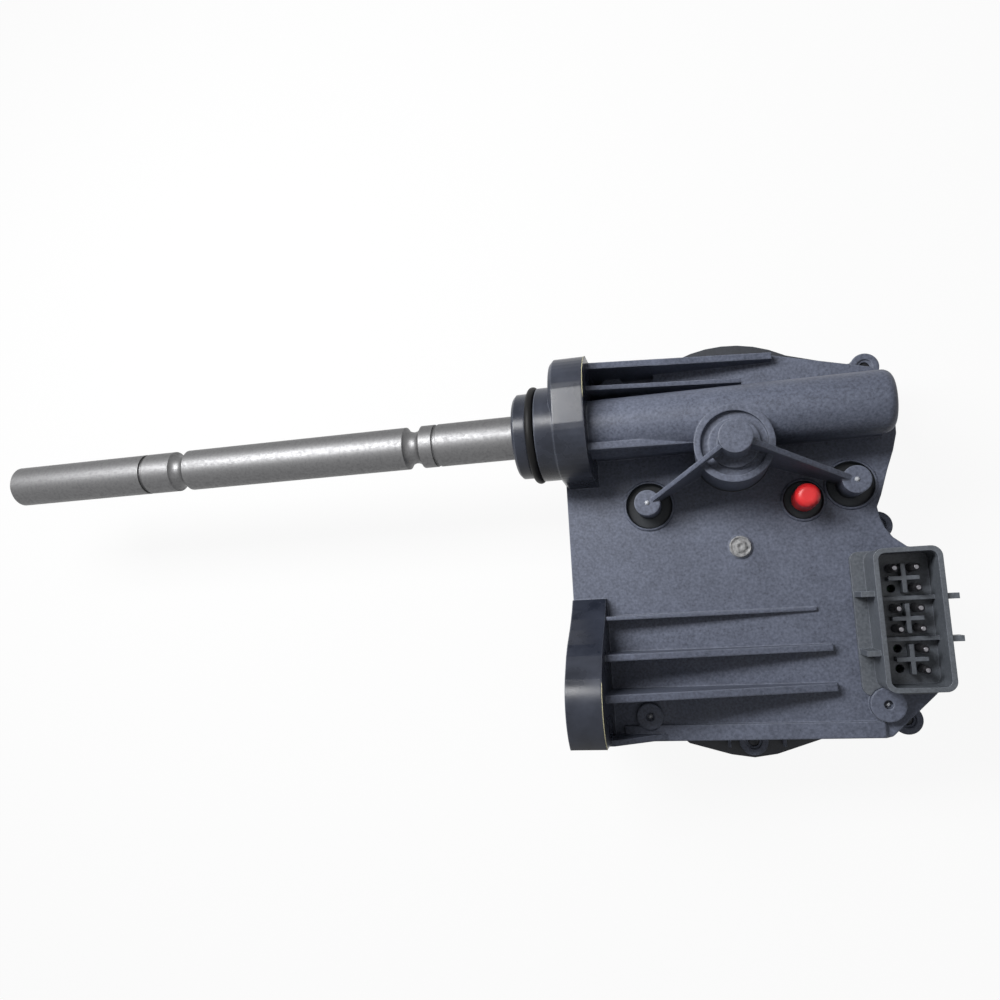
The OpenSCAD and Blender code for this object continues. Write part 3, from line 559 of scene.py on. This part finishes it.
@dataclass
class CadNodes:
    """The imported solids, which keep their shape and get their real finishes."""

    loaded: dict
    own_finish: dict[str, str] = field(default_factory=lambda: {
        "connector_shell": "shroud", "cover_screws": "screw"})

    def dress(self, finishes: Finishes) -> None:
        """Gives each solid the finish of its slot, apart from those with one of their own.

        Args:
            finishes: the built finishes.
        """
        for part in self.loaded["record"]["subparts"]:
            node = part["node"]
            finish = self.own_finish.get(node, part["material_slot"])
            finishes.dress(self.loaded["nodes"][node], finish)
            LOG.info("dressed %s", node)


@dataclass
class ShapeTree:
    """A geometry node tree with named sizes, from a start mesh to one finished piece."""

    name: str
    sizes: dict[str, float]

    def __post_init__(self) -> None:
        """Makes the tree, its sockets and the node that hands out its inputs."""
        self.tree = bpy.data.node_groups.new(self.name, "GeometryNodeTree")
        socket = self.tree.interface.new_socket
        socket("Geometry", in_out="INPUT", socket_type="NodeSocketGeometry")
        socket("Geometry", in_out="OUTPUT", socket_type="NodeSocketGeometry")
        self.keys = {
            name: socket(name, in_out="INPUT", socket_type="NodeSocketFloat").identifier
            for name in self.sizes}
        self.given = self.node("NodeGroupInput").outputs

    def node(self, kind: str, settings: dict | None = None, inputs: dict | None = None) -> Node:
        """Adds a node to this tree, as add_node does."""
        return add_node(self.tree, kind, settings, inputs)

    def calc(self, operation: str, *values: float | Socket) -> Socket:
        """Works out a number from others with one operation of the Math node."""
        inputs = dict(enumerate(values))
        return self.node("ShaderNodeMath", {"operation": operation}, inputs).outputs[0]

    def vector(self, x: float | Socket = 0.0, y: float | Socket = 0.0,
               z: float | Socket = 0.0) -> Socket:
        """Joins three numbers into a vector."""
        return self.node("ShaderNodeCombineXYZ", inputs={0: x, 1: y, 2: z}).outputs[0]

    def make(self, start: bpy.types.Mesh, shape: Socket, material: Material) -> bpy.types.Object:
        """Ends the tree, runs it on a start mesh and keeps the result as a plain mesh.

        Args:
            start: the mesh that the tree starts from.
            shape: the geometry output that the tree ends with.
            material: the piece's material.

        Returns:
            The new object, at the origin, with no modifier.
        """
        real = self.node("GeometryNodeRealizeInstances", inputs={0: shape})
        painted = self.node("GeometryNodeSetMaterial", inputs={
            0: real.outputs[0], "Material": material})
        self.node("NodeGroupOutput", inputs={0: painted.outputs[0]})
        source = bpy.data.objects.new(self.name + "_source", start)
        bpy.context.scene.collection.objects.link(source)
        modifier = source.modifiers.new(self.name, "NODES")
        modifier.node_group = self.tree
        for name, value in self.sizes.items():
            modifier[self.keys[name]] = value
        ready = source.evaluated_get(bpy.context.evaluated_depsgraph_get())
        mesh = bpy.data.meshes.new_from_object(ready)
        bpy.data.objects.remove(source)
        made = bpy.data.objects.new(self.name, mesh)
        bpy.context.scene.collection.objects.link(made)
        LOG.info("made %s with %d faces", self.name, len(mesh.polygons))
        return made


def points_mesh(name: str, places_mm: list[Place], joined: bool) -> bpy.types.Mesh:
    """Makes a mesh of bare points, or of one open line through them.

    Args:
        name: the mesh's name.
        places_mm: the points in millimetres.
        joined: whether edges join each point to the next.

    Returns:
        The mesh.
    """
    mesh = bpy.data.meshes.new(name)
    edges = [(i, i + 1) for i in range(len(places_mm) - 1)] if joined else []
    mesh.from_pydata([[c * MM for c in p] for p in places_mm], edges, [])
    return mesh


@dataclass
class FlangeInserts:
    """The thread inside the two inserts, which the solids show as a plain bore."""

    low_mm: Place = (0.0, -84.5, 0.0)
    up_mm: Place = (0.0, 9.5, -31.0)
    core_r_mm: float = 3.4
    inset_mm: float = 0.05
    pitch_mm: float = 1.25
    ridge_mm: float = 0.36
    ridge_sides: int = 4
    first_x_mm: float = 0.25
    length_mm: float = 8.5
    steps_per_turn: int = 28

    def build(self, finishes: Finishes) -> None:
        """Winds one ridge per insert and sets it in its bore.

        Args:
            finishes: the built finishes.
        """
        shape = ShapeTree("insert_threads", {
            "Radius": (self.core_r_mm - self.inset_mm) * MM, "Pitch": self.pitch_mm * MM,
            "Ridge": self.ridge_mm * MM, "Length": self.length_mm * MM})
        turns = shape.calc("DIVIDE", shape.given["Length"], shape.given["Pitch"])
        helix = shape.node("GeometryNodeCurveSpiral", inputs={
            "Resolution": self.steps_per_turn, "Rotations": turns,
            "Start Radius": shape.given["Radius"], "End Radius": shape.given["Radius"],
            "Height": shape.given["Length"]})
        section = shape.node("GeometryNodeCurvePrimitiveCircle", inputs={
            "Resolution": self.ridge_sides, "Radius": shape.given["Ridge"]})
        ridge = shape.node("GeometryNodeCurveToMesh", inputs={
            0: helix.outputs[0], 1: section.outputs[0], "Fill Caps": True})
        laid = shape.node("GeometryNodeTransform", inputs={
            0: ridge.outputs[0], "Translation": (self.first_x_mm * MM, 0, 0),
            "Rotation": (0, math.pi / 2, 0)})
        placed = shape.node("GeometryNodeInstanceOnPoints", inputs={
            "Points": shape.given[0], "Instance": laid.outputs[0]})
        start = points_mesh("insert_places", [self.low_mm, self.up_mm], joined=False)
        made = shape.make(start, placed.outputs[0], finishes.made["insert_brass"])
        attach(made, "housing")


@dataclass
class CoverScrews:
    """Toothed washers under the seven screw heads of the cover."""

    places_mm: tuple[tuple[float, float], ...] = (
        (96.9, 16.1), (95.6, -34.7), (98.1, -93.9), (52.9, -99.5), (5.2, -92.6), (5.2, -38.0),
        (17.2, 16.0))
    seat_z_mm: float = -30.0
    washer_r_mm: float = 4.3
    washer_t_mm: float = 0.7
    washer_sides: int = 40
    teeth: float = 18.0
    tooth_length_share: float = 0.16
    tooth_width_share: float = 0.14

    def build(self, finishes: Finishes) -> None:
        """Sets a ring of teeth on a washer and puts one under each head.

        Args:
            finishes: the built finishes.
        """
        shape = ShapeTree("screw_washers", {
            "Radius": self.washer_r_mm * MM, "Thickness": self.washer_t_mm * MM,
            "Teeth": self.teeth})
        disc = shape.node("GeometryNodeMeshCylinder", {"fill_type": "NGON"}, {
            "Vertices": self.washer_sides, "Radius": shape.given["Radius"],
            "Depth": shape.given["Thickness"]})
        circle = shape.node("GeometryNodeMeshCircle", {"fill_type": "NONE"}, {
            "Vertices": shape.given["Teeth"], "Radius": shape.given["Radius"]})
        away = shape.node("GeometryNodeInputPosition")
        turn = shape.node("FunctionNodeAlignRotationToVector", {"axis": "X"}, {
            "Vector": away.outputs[0]})
        length = shape.calc("MULTIPLY", shape.given["Radius"], self.tooth_length_share)
        width = shape.calc("MULTIPLY", shape.given["Radius"], self.tooth_width_share)
        tooth = shape.node("GeometryNodeMeshCube", inputs={
            "Size": shape.vector(length, width, shape.given["Thickness"])})
        ring = shape.node("GeometryNodeInstanceOnPoints", inputs={
            "Points": circle.outputs[0], "Instance": tooth.outputs[0],
            "Rotation": turn.outputs[0]})
        joined = shape.node("GeometryNodeJoinGeometry")
        shape.tree.links.new(disc.outputs[0], joined.inputs[0])
        shape.tree.links.new(ring.outputs[0], joined.inputs[0])
        placed = shape.node("GeometryNodeInstanceOnPoints", inputs={
            "Points": shape.given[0], "Instance": joined.outputs[0]})
        height = self.seat_z_mm - self.washer_t_mm / 2
        start = points_mesh("screw_places", [(x, y, height) for x, y in self.places_mm],
                            joined=False)
        made = shape.make(start, placed.outputs[0], finishes.made["screw"])
        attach(made, "housing")


@dataclass
class EarFlashAndHighlight:
    """A thin pale line on the back edge of both flange ears: the mould's flash, and in part a
    painted highlight on that edge.
    """

    back_x_mm: float = 10.8
    width_mm: float = 0.22
    sides: int = 6
    steps: int = 24
    up_centre_mm: tuple[float, float] = (9.0, 0.0)
    up_r_mm: float = 14.6
    up_from_deg: float = 8.0
    up_to_deg: float = 96.0
    low_centre_mm: tuple[float, float] = (-84.5, 0.0)
    low_r_mm: float = 16.0
    low_from_deg: float = 62.0
    low_floor_y_mm: float = -96.4

    def arc(self, centre: tuple[float, float], radius: float, first: float,
            last: float) -> list[Place]:
        """Points along an ear's round edge.

        Args:
            centre: Y and Z of the arc's centre, in millimetres.
            radius: the arc's radius in millimetres.
            first: the angle from +Y at which it starts, in degrees.
            last: the angle at which it ends.

        Returns:
            The points in millimetres.
        """
        angles = [math.radians(first + (last - first) * i / self.steps)
                  for i in range(self.steps + 1)]
        return [(self.back_x_mm, centre[0] + radius * math.cos(a),
                 centre[1] + radius * math.sin(a)) for a in angles]

    def build(self, finishes: Finishes) -> None:
        """Sweeps one fine line along each ear.

        Args:
            finishes: the built finishes.
        """
        drop = self.low_floor_y_mm - self.low_centre_mm[0]
        low_to_deg = math.degrees(math.acos(drop / self.low_r_mm))
        runs = {
            "upper_ear_flash_and_highlight": self.arc(self.up_centre_mm, self.up_r_mm, self.up_from_deg,
                                        self.up_to_deg),
            "lower_ear_flash_and_highlight": self.arc(self.low_centre_mm, self.low_r_mm, self.low_from_deg,
                                        low_to_deg)}
        for name, places in runs.items():
            shape = ShapeTree(name, {"Width": self.width_mm * MM})
            path = shape.node("GeometryNodeMeshToCurve", inputs={0: shape.given[0]})
            section = shape.node("GeometryNodeCurvePrimitiveCircle", inputs={
                "Resolution": self.sides,
                "Radius": shape.calc("MULTIPLY", shape.given["Width"], 0.5)})
            line = shape.node("GeometryNodeCurveToMesh", inputs={
                0: path.outputs[0], 1: section.outputs[0], "Fill Caps": True})
            start = points_mesh(name, places, joined=True)
            made = shape.make(start, line.outputs[0], finishes.made["flash"])
            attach(made, "housing")


@dataclass
class MoatLips:
    """The low rounded lip that the mould leaves around the ring grooves of pins and cap."""

    plate_z_mm: float = -13.0
    lip_mm: float = 0.6
    lip_sides: int = 10
    ring_steps: int = 56
    moats_mm: dict[str, Place] = field(default_factory=lambda: {
        "left_pin_lip": (*LEFT_PIN, 7.6), "right_pin_lip": (*RIGHT_PIN, 7.3),
        "cap_lip": (*CAP, 6.2)})

    def build(self, finishes: Finishes) -> None:
        """Sweeps one ring, half below the plate, around each groove.

        Args:
            finishes: the built finishes.
        """
        for name, (x, y, radius) in self.moats_mm.items():
            shape = ShapeTree(name, {"Radius": radius * MM, "Lip": self.lip_mm * MM})
            circle = shape.node("GeometryNodeCurvePrimitiveCircle", inputs={
                "Resolution": self.ring_steps, "Radius": shape.given["Radius"]})
            section = shape.node("GeometryNodeCurvePrimitiveCircle", inputs={
                "Resolution": self.lip_sides, "Radius": shape.given["Lip"]})
            ring = shape.node("GeometryNodeCurveToMesh", inputs={
                0: circle.outputs[0], 1: section.outputs[0]})
            placed = shape.node("GeometryNodeInstanceOnPoints", inputs={
                "Points": shape.given[0], "Instance": ring.outputs[0]})
            start = points_mesh(name, [(x, y, self.plate_z_mm)], joined=False)
            made = shape.make(start, placed.outputs[0], finishes.made["housing_nylon"])
            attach(made, "housing")


@dataclass
class GateScar:
    """The torn stub of the mould's gate, rough and pale, on its low disc."""

    place_mm: Place = (53.7, -39.0, -12.62)
    radius_mm: float = 3.5
    grid_lines: int = 48
    nub_mm: float = 0.6
    rough_mm: float = 0.5
    rough: Grain = Grain(1.3, 4.0, 0.7)
    rim_share: float = 0.125

    def build(self, finishes: Finishes) -> None:
        """Roughens a fine disc and lays it on the gate.

        Args:
            finishes: the built finishes.
        """
        shape = ShapeTree("gate_scar", {
            "Radius": self.radius_mm * MM, "Rough": self.rough_mm * MM, "Nub": self.nub_mm * MM,
            "Scale": 1 / (self.rough.size_mm * MM)})
        width = shape.calc("MULTIPLY", shape.given["Radius"], 2.0)
        sheet = shape.node("GeometryNodeMeshGrid", inputs={
            "Size X": width, "Size Y": width, "Vertices X": self.grid_lines,
            "Vertices Y": self.grid_lines})
        where = shape.node("GeometryNodeInputPosition").outputs[0]
        away = shape.node("ShaderNodeVectorMath", {"operation": "LENGTH"}, {
            0: where}).outputs["Value"]
        outside = shape.calc("GREATER_THAN", away, shape.given["Radius"])
        disc = shape.node("GeometryNodeDeleteGeometry", {"domain": "POINT"}, {
            0: sheet.outputs[0], "Selection": outside})
        rough = shape.node("ShaderNodeTexNoise", inputs={
            "Vector": where, "Scale": shape.given["Scale"], "Detail": self.rough.detail,
            "Roughness": self.rough.harshness})
        # From the middle outwards: a dimple, a torn nub, a groove and a rim that falls away.
        outward = shape.calc("DIVIDE", away, shape.given["Radius"])
        inward = shape.calc("SUBTRACT", 1.0, outward)
        swell = shape.calc("MINIMUM", shape.calc("MULTIPLY", inward, 1 / self.rim_share), 1.0)
        wave = shape.calc("COSINE", shape.calc("MULTIPLY", outward, 3 * math.pi))
        half_nub = shape.calc("MULTIPLY", shape.given["Nub"], 0.5)
        nub = shape.calc("MULTIPLY", shape.calc("SUBTRACT", 1.0, wave), half_nub)
        torn = shape.calc("MULTIPLY_ADD", rough.outputs[0], shape.given["Rough"], nub)
        height = shape.calc("MULTIPLY", torn, swell)
        raised = shape.node("GeometryNodeSetPosition", inputs={
            0: disc.outputs[0], "Offset": shape.vector(z=height)})
        placed = shape.node("GeometryNodeInstanceOnPoints", inputs={
            "Points": shape.given[0], "Instance": raised.outputs[0]})
        start = points_mesh("gate_place", [self.place_mm], joined=False)
        made = shape.make(start, placed.outputs[0], finishes.made["torn"])
        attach(made, "housing")


@dataclass
class MouldPips:
    """The small pips that the mould's vents leave on pads and pins, coloured pale as a painted
    glint.
    """

    radius_mm: float = 0.8
    rounding: int = 3
    places_mm: tuple[Place, ...] = (
        (22.0, -90.1, -12.1), (91.3, -88.0, -11.9), (*LEFT_PIN, -3.2), (*RIGHT_PIN, -1.2))

    def build(self, finishes: Finishes) -> None:
        """Puts one round pip at each place.

        Args:
            finishes: the built finishes.
        """
        shape = ShapeTree("mould_pips", {"Radius": self.radius_mm * MM})
        ball = shape.node("GeometryNodeMeshIcoSphere", inputs={
            "Radius": shape.given["Radius"], "Subdivisions": self.rounding})
        placed = shape.node("GeometryNodeInstanceOnPoints", inputs={
            "Points": shape.given[0], "Instance": ball.outputs[0]})
        start = points_mesh("pip_places", list(self.places_mm), joined=False)
        made = shape.make(start, placed.outputs[0], finishes.made["pip"])
        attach(made, "housing")


@dataclass(frozen=True)
class Lamp:
    """One soft lamp whose long side runs along the shaft, in metres and watts."""

    name: str
    place: Place
    size: tuple[float, float]
    power: float
    target: Place = (0.03, -0.03, 0)

    def build(self) -> None:
        """Hangs the lamp in its place and turns it to its target."""
        data = bpy.data.lights.new(self.name, "AREA")
        data.shape = "RECTANGLE"
        data.size, data.size_y = self.size
        data.energy = self.power
        made = bpy.data.objects.new(self.name, data)
        back = (Vector(self.place) - Vector(self.target)).normalized()
        across = back.cross(Vector((1.0, 0.0, 0.0))).normalized()
        turn = Matrix((across.cross(back), across, back)).transposed()
        made.matrix_world = Matrix.Translation(self.place) @ turn.to_4x4()
        bpy.context.scene.collection.objects.link(made)
        made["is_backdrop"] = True


@dataclass
class Studio:
    """Camera at the photograph's angle, soft lamps, white surroundings and a pale floor."""

    # The camera's place and its directions down the picture and into it, solved from the photo.
    eye_mm: Place = (42.0327, -54.2136, 259.7459)
    down: Place = (-0.08023, -0.99042, -0.11244)
    ahead: Place = (-0.22962, 0.12813, -0.96481)
    # The focal length as a share of the picture's width.
    focal_share: float = 0.8374555
    sensor_mm: float = 36.0
    near_m: float = 0.01
    far_m: float = 50.0
    lamps: tuple[Lamp, ...] = (
        Lamp("key", (-0.17, 0.125, 0.3), (0.3, 0.11), 2.5),
        Lamp("fill", (0.35, -0.2, 0.8), (0.6, 0.6), 0.5))
    world_strength: float = 0.045
    floor_gap_mm: float = 0.4
    floor_size: float = 6.0
    floor_colour: str = "#d2d2d2"
    floor_white: float = 0.93

    def camera(self) -> None:
        """Puts the camera where the photograph was taken from."""
        data = bpy.data.cameras.new("camera")
        data.sensor_width = self.sensor_mm
        data.lens = self.focal_share * self.sensor_mm
        data.clip_start = self.near_m
        data.clip_end = self.far_m
        made = bpy.data.objects.new("camera", data)
        up = -Vector(self.down).normalized()
        back = -Vector(self.ahead).normalized()
        right = up.cross(back).normalized()
        turn = Matrix((right, back.cross(right), back)).transposed()
        made.matrix_world = Matrix.Translation(Vector(self.eye_mm) * MM) @ turn.to_4x4()
        bpy.context.scene.collection.objects.link(made)
        bpy.context.scene.camera = made

    def background_rays(self, tree: Tree) -> Socket:
        """Tells the rays that show the background, by eye, in metal or through a clear piece.

        Args:
            tree: the tree of the world or of the floor's material.

        Returns:
            One for such a ray, and zero for light that falls on the part.
        """
        path = add_node(tree, "ShaderNodeLightPath")
        seen = add_node(tree, "ShaderNodeMath", {"operation": "MAXIMUM"}, {
            0: path.outputs["Is Camera Ray"], 1: path.outputs["Is Transmission Ray"]})
        return add_node(tree, "ShaderNodeMath", {"operation": "MAXIMUM"}, {
            0: seen.outputs[0], 1: path.outputs["Is Glossy Ray"]}).outputs[0]

    def surroundings(self) -> None:
        """Makes a white world that lights softly and shows white behind the part."""
        world = bpy.data.worlds.new("surroundings")
        bpy.context.scene.world = world
        world.use_nodes = True
        tree = world.node_tree
        tree.nodes.clear()
        level = add_node(tree, "ShaderNodeMapRange", inputs={
            "Value": self.background_rays(tree), "To Min": self.world_strength, "To Max": 1.0})
        back = add_node(tree, "ShaderNodeBackground", inputs={
            "Color": WHITE, "Strength": level.outputs[0]})
        add_node(tree, "ShaderNodeOutputWorld", inputs={"Surface": back.outputs[0]})

    def floor(self, low_z: float) -> None:
        """Lays a pale floor just under the part.

        Args:
            low_z: height of the part's lowest point, in metres.
        """
        bpy.ops.mesh.primitive_plane_add(size=self.floor_size)
        made = bpy.context.object
        made.name = "floor"
        made.location = (0, 0, low_z - self.floor_gap_mm * MM)
        material = bpy.data.materials.new("pale_floor")
        material.use_nodes = True
        tree = material.node_tree
        tree.nodes.clear()
        paint = add_node(tree, "ShaderNodeBsdfDiffuse", inputs={
            "Color": linear(self.floor_colour)})
        white = add_node(tree, "ShaderNodeEmission", inputs={"Color": WHITE, "Strength": 1.0})
        share = add_node(tree, "ShaderNodeMath", {"operation": "MULTIPLY"}, {
            0: self.background_rays(tree), 1: self.floor_white})
        mix = add_node(tree, "ShaderNodeMixShader", inputs={
            0: share.outputs[0], 1: paint.outputs[0], 2: white.outputs[0]})
        add_node(tree, "ShaderNodeOutputMaterial", inputs={"Surface": mix.outputs[0]})
        made.data.materials.append(material)
        made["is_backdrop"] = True

    def build(self, low_z: float) -> None:
        """Builds the whole studio.

        Args:
            low_z: height of the part's lowest point, in metres.
        """
        self.camera()
        for lamp in self.lamps:
            lamp.build()
        self.surroundings()
        self.floor(low_z)
        bpy.context.scene.view_settings.view_transform = "Standard"


def main(loaded: dict) -> None:
    """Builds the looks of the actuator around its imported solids.
    """
    logging.basicConfig(level=logging.INFO, format="%(name)s %(message)s")
    cad_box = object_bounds()
    finishes = Finishes()
    finishes.build()
    CadNodes(loaded).dress(finishes)
    for trim in (FlangeInserts(), CoverScrews(), EarFlashAndHighlight(), MoatLips(), GateScar(), MouldPips()):
        trim.build(finishes)
    Studio().build(cad_box[0].z)


if __name__ == "__main__":
    main(frame)
